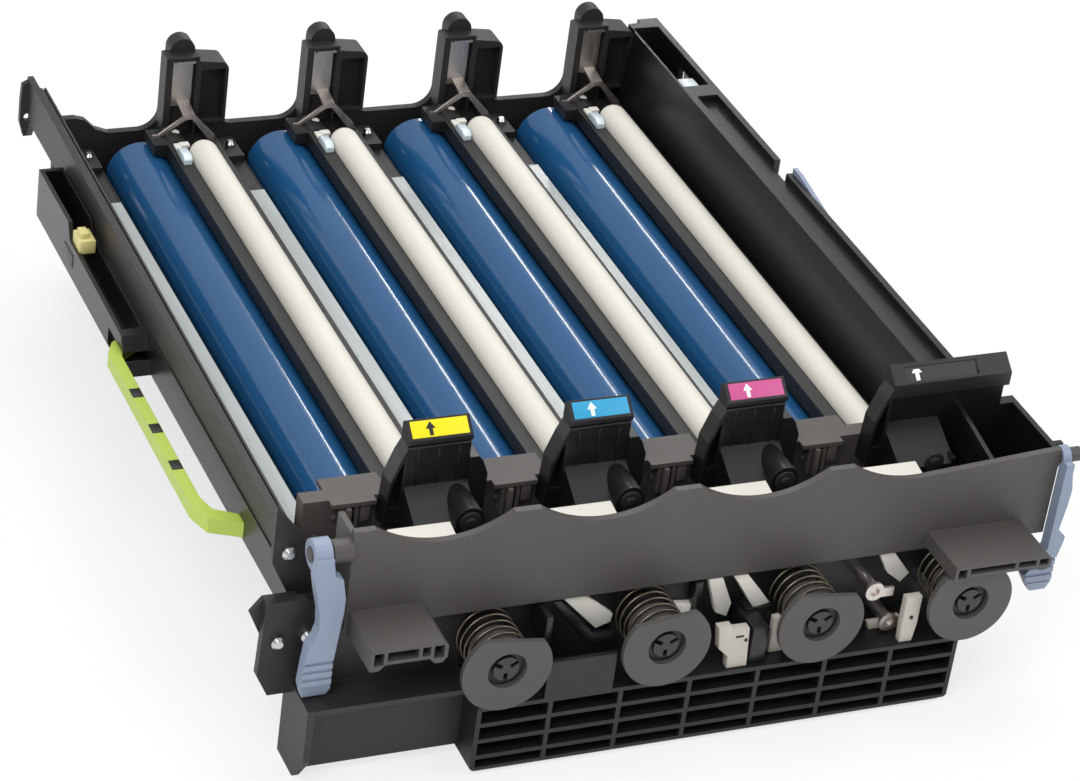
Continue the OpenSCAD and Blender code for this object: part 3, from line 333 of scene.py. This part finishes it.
def make_materials():
    """Builds every finish once, from the scene's colours"""
    col = bpy.context.scene.drum_unit_colours
    edge_wear_group()
    moulded_group()
    brushed_group()
    MATERIALS.update({
        "panel": moulded("Front panel grey", col.panel, rough=0.4, grain=1800.0, depth=0.35, change=0.2, rub=1.7),
        "shelf": moulded("Shelf grey", col.shelf, rough=0.42, grain=1500.0, depth=0.3, change=0.2, rub=1.6),
        "frame": moulded("Frame dark grey", col.frame_dark, rough=0.42, rub=2.0),
        "housing": moulded("Housing dark grey", srgb("#1b1a1a"), rough=0.4, rub=1.9, change=0.2),
        "black": moulded("Satin black", col.black, rough=0.3, depth=0.15, rub=2.6, lift=0.01, coat=0.15),
        "block": moulded("Block black", srgb("#1a191b"), rough=0.32, depth=0.2, rub=2.4, lift=0.008),
        "foot": moulded("Foot grey", srgb("#2b2827"), rough=0.4, rub=1.8, change=0.2),
        "disc": moulded("Disc grey", col.disc, rough=0.4, grain=2200.0, change=0.16, rub=1.5),
        "lever": moulded("Lever blue", col.lever, rough=0.36, depth=0.2, change=0.1, rub=1.25, wear=0.6),
        "handle": moulded("Handle green", col.handle, rough=0.34, depth=0.2, change=0.1, rub=1.15),
        "ivory": moulded("Bar ivory", col.ivory, rough=0.5, grain=1000.0, depth=0.2, change=0.07, rub=1.03,
                         wear=0.2, edge=0.6),
        "white": moulded("Insert white", col.white, rough=0.45, depth=0.15, change=0.06, rub=1.02, wear=0.2),
        "cream": moulded("Connector cream", srgb("#bdb8ae"), rough=0.42, depth=0.15, change=0.1, rub=1.05, wear=0.2),
        "rubber": moulded("Roller rubber", srgb("#2a2a2c"), rough=0.55, grain=3000.0, rub=1.3, wear=0.2),
        "gear": moulded("Gear plastic", srgb("#2b2b2e"), rough=0.26, rub=1.8, edge=0.15),
        "auger": moulded("Auger plastic", srgb("#8b8883"), rough=0.35, rub=1.2, edge=0.15),
        "steel": drawn_metal("Bright steel", srgb("#d9dadb"), srgb("#a9abad"), (300.0, 300.0, 300.0), 0.16),
        "contact": drawn_metal("Contact strip", srgb("#e6dfdb"), srgb("#c3bab5"), (900.0, 900.0, 120.0), 0.26),
        "spring": drawn_metal("Spring wire", srgb("#8d8577"), srgb("#575148"), (400.0, 400.0, 400.0), 0.26),
        "drum": drum_material(col.drum),
        "film": film_material(col.film),
        "clear": clear_material(),
        "yellow": moulded("Yellow label", col.yellow, rough=0.3, depth=0.05, change=0.05, wear=0.1, rub=1.0, edge=0.05),
        "cyan": moulded("Cyan label", col.cyan, rough=0.3, depth=0.05, change=0.05, wear=0.1, rub=1.1, edge=0.05),
        "magenta": moulded("Magenta label", col.magenta, rough=0.3, depth=0.05, change=0.05, wear=0.1, rub=1.1,
                           edge=0.05),
        "ink": moulded("Arrow ink black", srgb("#191716"), rough=0.4, depth=0.05, wear=0.1, edge=0.05),
        "paper": moulded("Arrow ink white", srgb("#f7f6f3"), rough=0.4, depth=0.05, change=0.03, wear=0.1, rub=1.0,
                         edge=0.05),
        "amber": moulded("Amber clip", srgb("#d9cf8a"), rough=0.35, change=0.1, rub=1.1, edge=0.2),
    })


NODE_FINISH = {
    "rear_wall": "frame", "left_rail": "foot", "left_side_wall": "black", "right_trough": "black",
    "front_panel": "panel", "front_bulkhead": "shelf", "lower_housing": "block", "base_skirt": "foot",
    "corner_bracket": "frame", "left_lever": "lever", "right_lever": "lever", "green_handle": "handle",
    "screws": "steel", "metal_contacts": "contact", "white_inserts": "white", "grip_tab": "lever",
    "hood": "black", "drum": "drum", "drum_axle": "gear", "drum_gear": "gear", "cleaner_bar": "ivory",
    "station_housing": "housing", "film_seal": "film", "shutter_disc": "disc", "shutter_spring": "spring",
    "waste_auger": "gear", "charge_roller": "rubber",
}


# ---------------------------------------------------------------- modelling helpers

def only(obj):
    bpy.ops.object.select_all(action="DESELECT")
    obj.select_set(True)
    bpy.context.view_layer.objects.active = obj


def settle(obj):
    """Puts a piece's place into its mesh"""
    only(obj)
    bpy.ops.object.transform_apply(location=True, rotation=True, scale=True)


def round_edges(obj, width, segments=2, angle=35):
    """Bevels the hard edges of a piece and shades it smooth across them"""
    mod = obj.modifiers.new("Rounded edges", "BEVEL")
    mod.width = width * MM
    mod.segments = segments
    mod.limit_method = "ANGLE"
    mod.angle_limit = math.radians(angle)
    only(obj)
    bpy.ops.object.modifier_apply(modifier=mod.name)
    bpy.ops.object.shade_smooth_by_angle(angle=math.radians(40))


def dress(obj, name, finish, body="base"):
    """Names a piece, gives it its finish and lets it ride on a body"""
    obj.name = name
    obj.data.name = name
    obj.data.materials.clear()
    obj.data.materials.append(MATERIALS[finish])
    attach(obj, body)
    return obj


def block(lo, hi, edge=0.3):
    """Rounded block between two station corners; returned ready to shape further"""
    a, b = place(*lo), place(*hi)
    bpy.ops.object.select_all(action="DESELECT")
    bpy.ops.mesh.primitive_cube_add(size=1, location=(a + b) / 2)
    obj = bpy.context.object
    obj.scale = b - a
    settle(obj)
    if edge:
        round_edges(obj, edge)
    return obj


def pin(centre, radius, depth, axis="Y", edge=0.25, sides=32):
    """Round pin with a rounded rim, centred on a station point"""
    turn = {"X": (0, math.pi / 2, 0), "Y": (math.pi / 2, 0, 0), "Z": (0, 0, 0)}[axis]
    bpy.ops.object.select_all(action="DESELECT")
    bpy.ops.mesh.primitive_cylinder_add(vertices=sides, radius=radius * MM, depth=depth * MM,
                                        location=place(*centre), rotation=turn)
    obj = bpy.context.object
    settle(obj)
    if edge:
        round_edges(obj, edge)
    return obj


def cut_plate(outline, thick, edge, origin, across, up):
    """Plate cut to an outline in millimetres; origin is a station point on its back, and
    across and up are the outline's two directions"""
    curve = bpy.data.curves.new("outline", "CURVE")
    curve.dimensions = "2D"
    curve.fill_mode = "BOTH"
    curve.extrude = max(thick / 2 - edge, 0.001) * MM
    curve.bevel_depth = edge * MM
    curve.offset = -edge * MM
    curve.bevel_resolution = 1
    line = curve.splines.new("POLY")
    line.points.add(len(outline) - 1)
    for point, (u, v) in zip(line.points, outline):
        point.co = (u * MM, v * MM, 0, 1)
    line.use_cyclic_u = True
    obj = bpy.data.objects.new("outline", curve)
    bpy.context.scene.collection.objects.link(obj)
    only(obj)
    bpy.ops.object.convert(target="MESH")
    obj = bpy.context.object
    x = Vector(across).normalized()
    y = Vector(up).normalized()
    z = x.cross(y)
    turn = Matrix((x, y, z)).transposed().to_4x4()
    turn.translation = place(*origin) + z * thick * MM / 2
    obj.matrix_world = turn
    settle(obj)
    bpy.ops.object.mode_set(mode="EDIT")
    bpy.ops.mesh.select_all(action="SELECT")
    bpy.ops.mesh.remove_doubles(threshold=0.000002)
    bpy.ops.mesh.normals_make_consistent(inside=False)
    bpy.ops.object.mode_set(mode="OBJECT")
    bpy.ops.object.shade_smooth_by_angle(angle=math.radians(40))
    return obj


def join(pieces):
    bpy.ops.object.select_all(action="DESELECT")
    for p in pieces:
        p.select_set(True)
    bpy.context.view_layer.objects.active = pieces[0]
    bpy.ops.object.join()
    return bpy.context.object


def copy_piece(obj, name, shift_x, body="base"):
    """Copy of a finished piece with its own mesh, moved along the stations"""
    only(obj)
    bpy.ops.object.duplicate(linked=False)
    dup = bpy.context.object
    dup.location.x += shift_x * MM
    settle(dup)
    dup.name = name
    dup.data.name = name
    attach(dup, body)
    return dup


def arrow_outline(h):
    w = h * 0.36
    return [(-w, h * 0.5), (0, h), (w, h * 0.5), (h * 0.14, h * 0.5), (h * 0.14, 0), (-h * 0.14, 0),
            (-h * 0.14, h * 0.5)]


# ---------------------------------------------------------------- operators

class DRUMUNIT_OT_finishes(bpy.types.Operator):
    """Gives every solid of the unit its procedural finish"""
    bl_idname = "drumunit.finishes"
    bl_label = "Finishes"

    def execute(self, context):
        make_materials()
        for name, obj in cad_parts.items():
            base = name.rstrip("0123456789").rstrip("_")
            finish = NODE_FINISH.get(name) or NODE_FINISH[base]
            for slot in obj.material_slots:
                slot.material = MATERIALS[finish]
        return {"FINISHED"}


class DRUMUNIT_OT_labels(bpy.types.Operator):
    """Slanted colour labels with arrows on the hoods, and a white arrow on the dark bin"""
    bl_idname = "drumunit.labels"
    bl_label = "Labels"

    def execute(self, context):
        sizes = context.scene.drum_unit_sizes
        (y0, z0), (y1, z1) = HOOD_FACE
        slope = Vector((0, y1 - y0, z1 - z0)).normalized()
        out = Vector((1, 0, 0)).cross(slope)
        face = (Vector((0, y1, z1)) - Vector((0, y0, z0))).length
        half = sizes.label_w / 2
        mid = -1.25
        for k, (finish, ink) in enumerate((("yellow", "ink"), ("cyan", "paper"), ("magenta", "paper"))):
            x = k * PITCH + mid
            high = face - 1.5
            base = Vector((x, y0, z0)) + slope * 0.85
            plate = cut_plate([(-half, 0), (half, 0), (half, high), (-half, high)], sizes.label_t, 0.05,
                              base, (1, 0, 0), slope)
            dress(plate, "label_%d" % (k + 1), finish)
            spot = base + slope * (high - sizes.arrow_h) / 2 + out * sizes.label_t
            spot.x = x - half + 0.34 * sizes.label_w
            mark = cut_plate(arrow_outline(sizes.arrow_h), 0.1, 0.02, spot, (1, 0, 0), slope)
            dress(mark, "label_arrow_%d" % (k + 1), ink)
        x = 3 * PITCH
        slope = Vector((0, 3.7, 3.2)).normalized()
        out = Vector((1, 0, 0)).cross(slope)
        spot = Vector((x + 3.4, -273.4, 100.4))
        mark = cut_plate(arrow_outline(5.4), 0.12, 0.02, spot + out * 0.2, (1, 0, 0), slope)
        dress(mark, "label_arrow_4", "paper")
        return {"FINISHED"}


class DRUMUNIT_OT_drum_clips(bpy.types.Operator):
    """Clear clips and white pins beside the rear end of each drum"""
    bl_idname = "drumunit.drum_clips"
    bl_label = "Drum clips"

    def execute(self, context):
        w = context.scene.drum_unit_sizes.clip_w
        clip = cut_plate([(0, 0), (9, 0), (9, 1.8), (7.4, 3.1), (1.6, 3.1), (0, 2.2)], w, 0.4,
                         (-3.9, -27.0, 66.1), (0, -1, 0), (0, 0, 1))
        dress(clip, "drum_clip_1", "clear")
        arm = join([block((-6.9, -26.6, 66.1), (-4.5, -21.4, 67.2), 0.3), block((-4.9, -24.2, 66.1), (-1.2, -21.4, 67.6), 0.3)])
        dress(arm, "clip_arm_1", "white")
        stud = join([pin((-3.4, -13, 66.6), 1.5, 1.4, "Z", 0.3), pin((-3.4, -13, 67.3), 0.8, 0.8, "Z", 0.2)])
        dress(stud, "housing_stud_1", "white")
        for k in STATIONS[1:]:
            copy_piece(clip, "drum_clip_%d" % (k + 1), k * PITCH)
            copy_piece(stud, "housing_stud_%d" % (k + 1), k * PITCH)
            copy_piece(arm, "clip_arm_%d" % (k + 1), k * PITCH)
        return {"FINISHED"}


class DRUMUNIT_OT_film_lips(bpy.types.Operator):
    """Wide seal films that cover the ledge between each bar and the next drum"""
    bl_idname = "drumunit.film_lips"
    bl_label = "Film lips"

    def execute(self, context):
        reach = context.scene.drum_unit_sizes.film_reach
        for k in STATIONS:
            x = k * PITCH
            left = x - 40.2 - (reach if k else 2.4)
            lip = cut_plate([(0, 0), (x - 40.2 - left, 0), (x - 40.2 - left, 216), (0, 216)], 0.3, 0.05,
                            (left, -254.0, 54.05), (1, 0, 0), (0, 1, 0))
            dress(lip, "film_lip_%d" % (k + 1), "film")
        return {"FINISHED"}


class DRUMUNIT_OT_springs(bpy.types.Operator):
    """Helical shutter springs, which take the place of the part's own springs"""
    bl_idname = "drumunit.springs"
    bl_label = "Springs"

    def execute(self, context):
        wire = context.scene.drum_unit_sizes.wire_r
        bpy.ops.object.select_all(action="DESELECT")
        bpy.ops.mesh.primitive_circle_add(vertices=12, radius=wire * MM)
        coil = bpy.context.object
        coil.rotation_euler = (math.pi / 2, 0, 0)
        settle(coil)
        coil.location = (SPRING_R * MM, 0, 0)
        settle(coil)
        screw = coil.modifiers.new("Coils", "SCREW")
        screw.axis = "Z"
        screw.angle = 2 * math.pi * SPRING_TURNS
        screw.screw_offset = SPRING_RISE * MM
        screw.steps = 176
        screw.render_steps = 176
        only(coil)
        bpy.ops.object.modifier_apply(modifier=screw.name)
        bpy.ops.object.mode_set(mode="EDIT")
        bpy.ops.mesh.select_all(action="SELECT")
        bpy.ops.mesh.fill_holes(sides=0)
        bpy.ops.mesh.select_all(action="SELECT")
        bpy.ops.mesh.normals_make_consistent(inside=False)
        bpy.ops.object.mode_set(mode="OBJECT")
        coil.rotation_euler = (math.pi / 2, 0, 0)
        coil.location = place(AUGER_X, APRON_Y - 0.9, AUGER_Z)
        settle(coil)
        bpy.ops.object.shade_smooth_by_angle(angle=math.radians(40))
        dress(coil, "coil_spring_1", "spring")
        coils = [coil] + [copy_piece(coil, "coil_spring_%d" % (k + 1), k * PITCH)
                          for k in STATIONS[1:]]
        for k, piece in enumerate(coils):
            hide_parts("shutter_spring_%d" % (k + 1))
            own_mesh(piece)
        return {"FINISHED"}


class DRUMUNIT_OT_auger_flights(bpy.types.Operator):
    """Helical flights of the waste augers, which turn with their shafts"""
    bl_idname = "drumunit.auger_flights"
    bl_label = "Auger flights"

    def execute(self, context):
        sizes = context.scene.drum_unit_sizes
        turns = 24
        length = sizes.flight_pitch * turns
        bpy.ops.object.select_all(action="DESELECT")
        bpy.ops.mesh.primitive_plane_add(size=1)
        rib = bpy.context.object
        rib.scale = ((sizes.flight_r - 1.8) * MM, 0.7 * MM, 1)
        rib.location = ((sizes.flight_r + 1.8) / 2 * MM, 0, 0)
        rib.rotation_euler = (math.pi / 2, 0, 0)
        settle(rib)
        screw = rib.modifiers.new("Flight", "SCREW")
        screw.axis = "Z"
        screw.screw_offset = sizes.flight_pitch * MM
        screw.iterations = turns
        screw.steps = 16
        screw.render_steps = 16
        screw.use_merge_vertices = True
        only(rib)
        bpy.ops.object.modifier_apply(modifier=screw.name)
        rib.rotation_euler = (math.pi / 2, 0, 0)
        rib.location = place(AUGER_X, -262 + 10 + length, AUGER_Z)
        settle(rib)
        bpy.ops.object.mode_set(mode="EDIT")
        bpy.ops.mesh.select_all(action="SELECT")
        bpy.ops.mesh.remove_doubles(threshold=0.000002)
        bpy.ops.mesh.select_all(action="DESELECT")
        bpy.ops.mesh.select_non_manifold()
        bpy.ops.mesh.edge_face_add()
        bpy.ops.mesh.select_all(action="SELECT")
        bpy.ops.mesh.normals_make_consistent(inside=False)
        bpy.ops.object.mode_set(mode="OBJECT")
        bpy.ops.object.shade_smooth_by_angle(angle=math.radians(40))
        dress(rib, "auger_flight_1", "auger", "waste_auger_1")
        for k in STATIONS[1:]:
            copy_piece(rib, "auger_flight_%d" % (k + 1), k * PITCH, "waste_auger_%d" % (k + 1))
        return {"FINISHED"}


class DRUMUNIT_OT_under_panel(bpy.types.Operator):
    """White connectors, ribs and the dark post under the front panel"""
    bl_idname = "drumunit.under_panel"
    bl_label = "Pieces under the panel"

    def execute(self, context):
        def sheet(name, points, depth, y, finish="white", edge=0.3):
            low_x, low_z = points[0]
            obj = cut_plate([(px - low_x, pz - low_z) for px, pz in points], depth, edge, (low_x, y, low_z),
                            (1, 0, 0), (0, 0, 1))
            return dress(obj, name, finish)

        sheet("port_tongue", [(35.4, 52.8), (43.4, 52.6), (54.2, 43.6), (53.8, 40.6), (48.7, 38.9)], 2.4, APRON_Y)
        sheet("tongue_tray", [(31.5, 52.6), (34.4, 52.6), (48, 38), (54.6, 37.6), (55.6, 34.2), (46.6, 33.4)], 3.4,
              APRON_Y, "black", 0.4)
        sheet("support_rib_1", [(86.4, 52.8), (91.6, 52.8), (96.3, 42), (95.3, 36.6), (91.1, 38.8)], 3.2, APRON_Y)
        sheet("support_rib_2", [(95.4, 52.8), (100.5, 52.8), (108.7, 42.3), (103, 41)], 6.2, APRON_Y)
        sheet("rib_foot", [(99.8, 41.6), (109, 41.6), (110.2, 33), (102, 31.6)], 7.0, APRON_Y, "black", 0.4)
        sheet("spring_tag", [(76.2, 44.2), (83.4, 43.3), (85.5, 38.7), (78, 38.5)], 3.0, APRON_Y)
        sheet("wire_hook", [(149, 52.8), (154.6, 52.8), (161.8, 43.4), (159, 40.1), (153.3, 44.7)], 2.6, APRON_Y)
        sheet("connector_1", [(84.9, 44), (89.7, 44), (90.2, 42.4), (96.2, 42.3), (97.4, 27.1), (90.2, 27.1),
                              (89.7, 32), (86.1, 35.5)], 3.4, -313.4, "cream")
        sheet("connector_2", [(153.4, 27.1), (158, 27.1), (158.8, 34), (158.8, 45), (153, 45), (153, 34)], 3.0, -313.8,
              "cream")
        sheet("connector_3", [(107.4, 41), (110, 41.2), (112.6, 27.1), (107.6, 27.1)], 2.5, -309.5, "cream")
        sheet("ring_plate", [(145.4, 30.3), (150, 30.3), (157.2, 31.3), (158, 27.1), (146.4, 27.1)], 2.0, -306, "cream")
        marks = join([block((91.6, -317.0, 39.2), (94.4, -316.7, 39.9), 0.08),
                      pin((95.4, -316.9, 37.8), 0.6, 0.4, "Y", 0.1), pin((156, -316.9, 37), 0.7, 0.4, "Y", 0.1)])
        dress(marks, "connector_marks", "ink")
        post = join([block((98.2, -316, 27.05), (104.2, -300, 40.8), 0.5),
                     block((81.6, -303, 40.4), (84.6, -300, 52.6), 0.5),
                     block((26.6, -310, 41.2), (29, -300.2, 52.6), 0.4)])
        dress(post, "inner_post", "black")
        return {"FINISHED"}


class DRUMUNIT_OT_side_pieces(bpy.types.Operator):
    """Clip and patch on the left, with thin black slivers of painted shadow under the handle; window, clear block and
    boss on the right
    """
    bl_idname = "drumunit.side_pieces"
    bl_label = "Side pieces"

    def execute(self, context):
        clip = join([block((-58.6, -78, 58.2), (-52.6, -69, 63.5), 0.5), block((-57.8, -76, 63.3), (-54.6, -71, 65.6), 0.4)])
        dress(clip, "tray_clip", "amber")
        dress(block((-59.8, -74, 50.4), (-59.3, -63, 55.6), 0.2), "tray_patch", "disc")
        # Three thin black slivers between the handle loop and the rail: painted shadow in the gap under the loop, not
        # real parts
        marks = [block((-63.9, y, 52.35), (-60.2, y + 5.2, 52.8), 0.15) for y in (-206, -184, -162)]
        dress(join(marks), "handle_marks", "ink")
        window = join([block((196.2, -36.2, 74.2), (196.8, -26.8, 84.6), 0.2)])
        dress(window, "trough_window", "white")
        dress(block((184.2, -56, 83), (191, -44, 89.9), 0.8), "clear_block", "clear")
        seat = join([block((184.4, -46, 56.3), (193.4, -38, 68), 0.5), pin((189, -24, 57.4), 3.2, 2.4, "Z", 0.5)])
        dress(seat, "pocket_boss", "frame")
        return {"FINISHED"}


class DRUMUNIT_OT_hood_fittings(bpy.types.Operator):
    """Mouth rings, ribs and latches around the hoods and the shelves between them"""
    bl_idname = "drumunit.hood_fittings"
    bl_label = "Hood fittings"

    def execute(self, context):
        for k in STATIONS[:3]:
            x = k * PITCH
            ribs = [block((x + rx, -274.3, 84), (x + rx + 0.8, -272.6, 98.6), 0.2) for rx in (-8.5, -1.6, 5.4)]
            ribs.append(block((x - 11.8, -274.6, 97.6), (x + 9.3, -272.8, 99.0), 0.3))
            dress(join(ribs), "hood_ribs_%d" % (k + 1), "black")
        for k in STATIONS:
            x = k * PITCH
            ring = join([pin((x + 5.5, -289.3, 78.5), 3.6, 0.8, "Y", 0.25), pin((x + 5.5, -289.9, 78.5), 1.6, 0.8, "Y", 0.2)])
            dress(ring, "hood_boss_%d" % (k + 1), "frame")
            latch = join([block((x - 29.2, -272.2, 66), (x - 27.4, -268.1, 76.3), 0.3),
                          block((x - 24, -270.6, 70), (x - 20.6, -268.1, 76.3), 0.4)])
            dress(latch, "shelf_latch_%d" % (k + 1), "shelf")
            dress(pin((x - 32, -268.6, 71.5), 1.0, 1.0, "Y", 0.25), "shelf_stud_%d" % (k + 1), "disc")
        return {"FINISHED"}


class DRUMUNIT_OT_stage(bpy.types.Operator):
    """Pale floor, soft lamps, white world and the camera"""
    bl_idname = "drumunit.stage"
    bl_label = "Stage"

    def execute(self, context):
        scene = context.scene
        scene.view_settings.view_transform = "Standard"
        bpy.ops.object.select_all(action="DESELECT")
        bpy.ops.mesh.primitive_plane_add(size=8, location=(0, 0, 0))
        floor = bpy.context.object
        floor.name = "floor"
        mat, tree, shader = blank_material("Pale floor")
        coords = node(tree, "ShaderNodeTexCoord")
        cloud = node(tree, "ShaderNodeTexNoise", [("Vector", coords.outputs["Object"]), ("Scale", 3.0)])
        tone = node(tree, "ShaderNodeMix", [(0, cloud.outputs[0]), (6, (0.9, 0.9, 0.9, 1)), (7, (0.92, 0.92, 0.92, 1))],
                    data_type="RGBA")
        tree.links.new(tone.outputs[2], shader.inputs["Base Color"])
        shader.inputs["Roughness"].default_value = 0.9
        shader.inputs["Specular IOR Level"].default_value = 0.1
        glow = node(tree, "ShaderNodeEmission", [("Strength", 1.0)])
        path = node(tree, "ShaderNodeLightPath")
        share = node(tree, "ShaderNodeMath", [(0, path.outputs["Is Camera Ray"]), (1, 0.72)], operation="MULTIPLY")
        mix = node(tree, "ShaderNodeMixShader", [(0, share.outputs[0]), (1, shader.outputs[0]), (2, glow.outputs[0])])
        out = next(n for n in tree.nodes if n.type == "OUTPUT_MATERIAL")
        tree.links.new(mix.outputs[0], out.inputs[0])
        floor.data.materials.append(mat)

        world = bpy.data.worlds.new("Studio")
        scene.world = world
        world.use_nodes = True
        wt = world.node_tree
        wt.nodes.clear()
        path = node(wt, "ShaderNodeLightPath")
        seen = node(wt, "ShaderNodeMath", [(0, path.outputs["Is Camera Ray"]), (1, path.outputs["Is Transmission Ray"])],
                    operation="MAXIMUM")
        level = node(wt, "ShaderNodeMapRange", [(0, seen.outputs[0]), (3, 0.52), (4, 1.0)])
        back = node(wt, "ShaderNodeBackground", [("Color", (1, 1, 1, 1)), ("Strength", level.outputs[0])])
        out = node(wt, "ShaderNodeOutputWorld", [(0, back.outputs[0])])

        for name, spot, size, power in (
                ("key", (-0.75, -0.75, 1.15), (0.7, 0.7), 9.5), ("top", (0.15, 0.35, 1.3), (0.9, 0.9), 7.5),
                ("fill", (0.9, -0.6, 0.8), (0.8, 0.8), 3.5), ("right strip", (0.56, 1.14, 0.8), (0.03, 1.2), 2.2),
                ("left strip", (-1.0, 1.14, 0.15), (0.05, 1.2), 0.9)):
            bpy.ops.object.light_add(type="AREA", location=spot)
            lamp = bpy.context.object
            lamp.name = name
            lamp.data.shape = "RECTANGLE"
            lamp.data.size, lamp.data.size_y = size
            lamp.data.energy = power
            lamp.rotation_euler = (Vector((0, 0, 0.04)) - Vector(spot)).to_track_quat("-Z", "Y").to_euler()

        ahead = Vector((0.37952, 0.75797, -0.53052)).normalized()
        up = Vector((0.10723, 0.53352, 0.83896))
        right = ahead.cross(up).normalized()
        up = right.cross(ahead).normalized()
        turn = Matrix((right, up, -ahead)).transposed().to_4x4()
        bpy.ops.object.camera_add(location=place(-407.8, -1149.55, 727.4), rotation=turn.to_euler())
        camera = bpy.context.object
        camera.data.lens = 122.97
        camera.data.sensor_width = 36
        camera.data.sensor_fit = "HORIZONTAL"
        camera.data.clip_end = 20
        scene.camera = camera
        return {"FINISHED"}


OPERATORS = (DRUMUNIT_OT_finishes, DRUMUNIT_OT_labels, DRUMUNIT_OT_drum_clips, DRUMUNIT_OT_film_lips, DRUMUNIT_OT_springs,
             DRUMUNIT_OT_auger_flights,
             DRUMUNIT_OT_under_panel, DRUMUNIT_OT_side_pieces, DRUMUNIT_OT_hood_fittings, DRUMUNIT_OT_stage)


class DRUMUNIT_PT_panel(bpy.types.Panel):
    """Lists the steps that dress the drum unit"""
    bl_idname = "DRUMUNIT_PT_panel"
    bl_label = "Drum Unit"
    bl_space_type = "VIEW_3D"
    bl_region_type = "UI"
    bl_category = "Drum Unit"

    def draw(self, context):
        for group in (context.scene.drum_unit_sizes, context.scene.drum_unit_colours):
            for name in group.bl_rna.properties.keys():
                if name not in ("rna_type", "name"):
                    self.layout.prop(group, name)
        for op in OPERATORS:
            self.layout.operator(op.bl_idname)


def register():
    for cls in (DrumUnitSizes, DrumUnitColours) + OPERATORS + (DRUMUNIT_PT_panel,):
        bpy.utils.register_class(cls)
    bpy.types.Scene.drum_unit_sizes = PointerProperty(type=DrumUnitSizes)
    bpy.types.Scene.drum_unit_colours = PointerProperty(type=DrumUnitColours)


def unregister():
    del bpy.types.Scene.drum_unit_colours
    del bpy.types.Scene.drum_unit_sizes
    for cls in reversed((DrumUnitSizes, DrumUnitColours) + OPERATORS + (DRUMUNIT_PT_panel,)):
        bpy.utils.unregister_class(cls)


def main():
    register()
    bpy.ops.drumunit.finishes()
    bpy.ops.drumunit.labels()
    bpy.ops.drumunit.drum_clips()
    bpy.ops.drumunit.film_lips()
    bpy.ops.drumunit.springs()
    bpy.ops.drumunit.auger_flights()
    bpy.ops.drumunit.under_panel()
    bpy.ops.drumunit.side_pieces()
    bpy.ops.drumunit.hood_fittings()
    bpy.ops.drumunit.stage()


if __name__ == "__main__":
    main()
